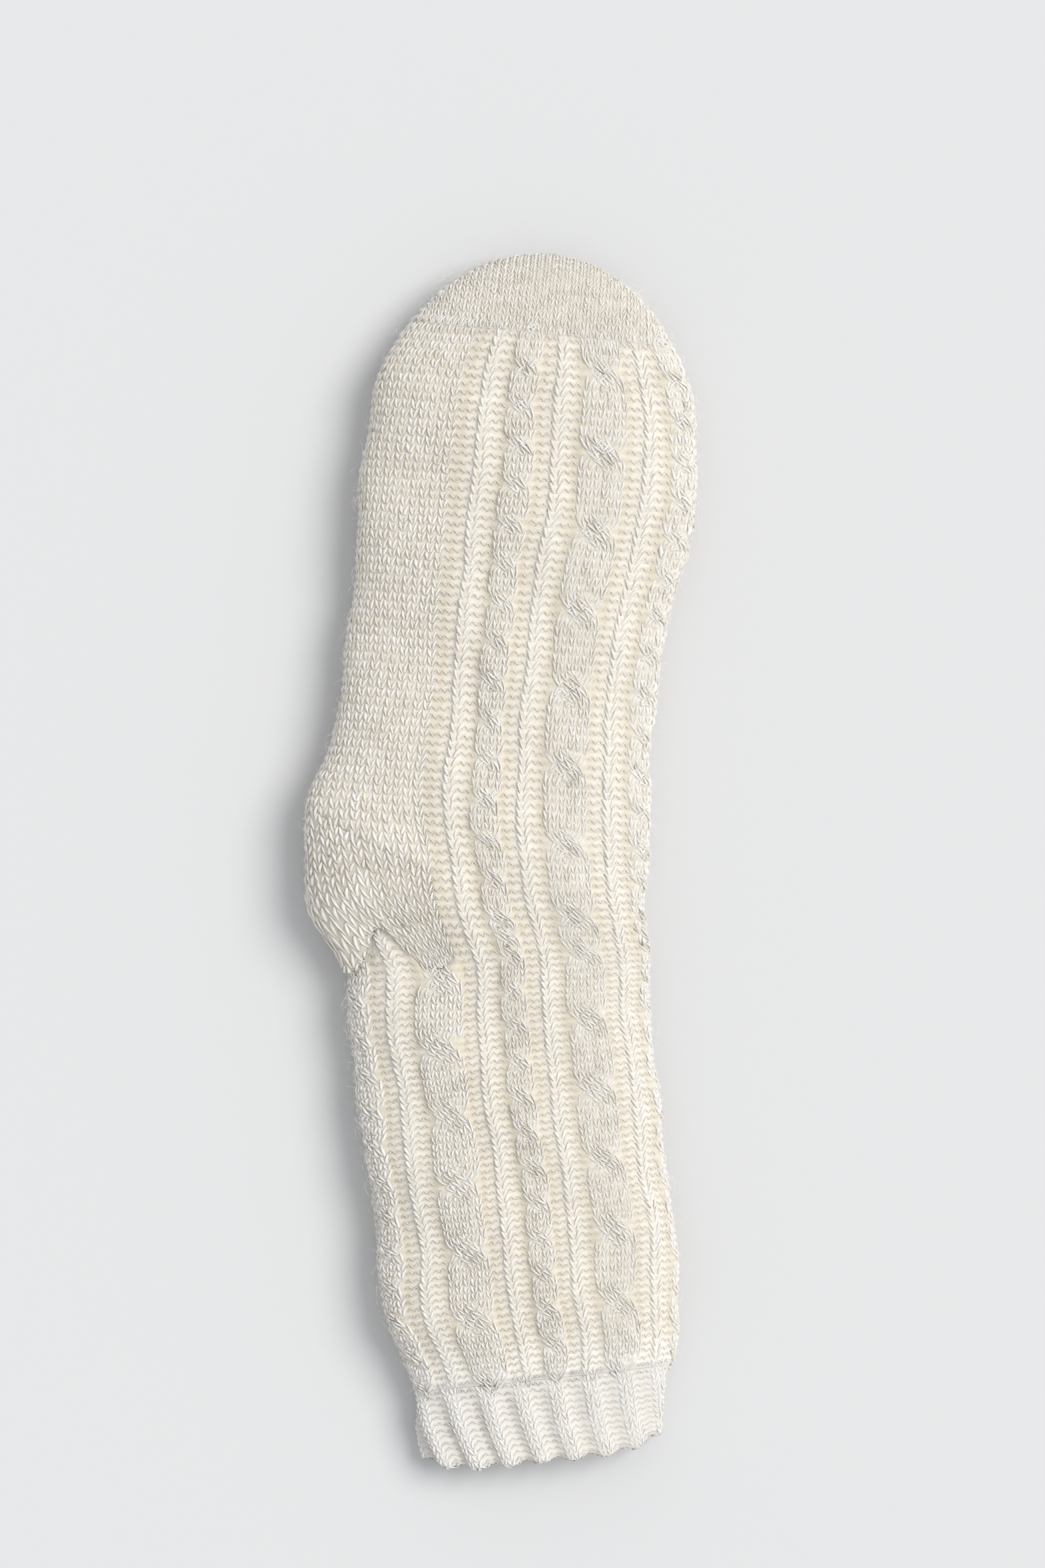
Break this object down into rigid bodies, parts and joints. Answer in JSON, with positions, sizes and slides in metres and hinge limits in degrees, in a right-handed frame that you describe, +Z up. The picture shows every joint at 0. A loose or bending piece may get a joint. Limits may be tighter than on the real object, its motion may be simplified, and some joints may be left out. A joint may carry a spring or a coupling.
{
  "type": "slipper sock",
  "caption": "Cable-knit wool slipper sock lying flat on its side, hollow and open at the ribbed cuff, with plain knit sole, heel and toe.",
  "frame": {"origin": "centre of the footprint of the sock's box, on the floor it lies on", "axes": "+X to the instep side, +Y to the toe, +Z up off the floor through the sock's thickness"},
  "size_m": [0.1306, 0.4024, 0.0321],
  "materials": {
    "cream_wool": "matte cream marl wool, cable knit",
    "heel_wool": "matte cream marl wool, plain knit",
    "toe_wool": "matte cream marl wool, plain knit",
    "cuff_wool": "matte off-white wool, two by two rib"
  },
  "bodies": {
    "root": {"knit_body": "cream_wool", "heel_pocket": "heel_wool", "toe_pocket": "toe_wool", "rib_cuff": "cuff_wool"}
  },
  "joints": []
}
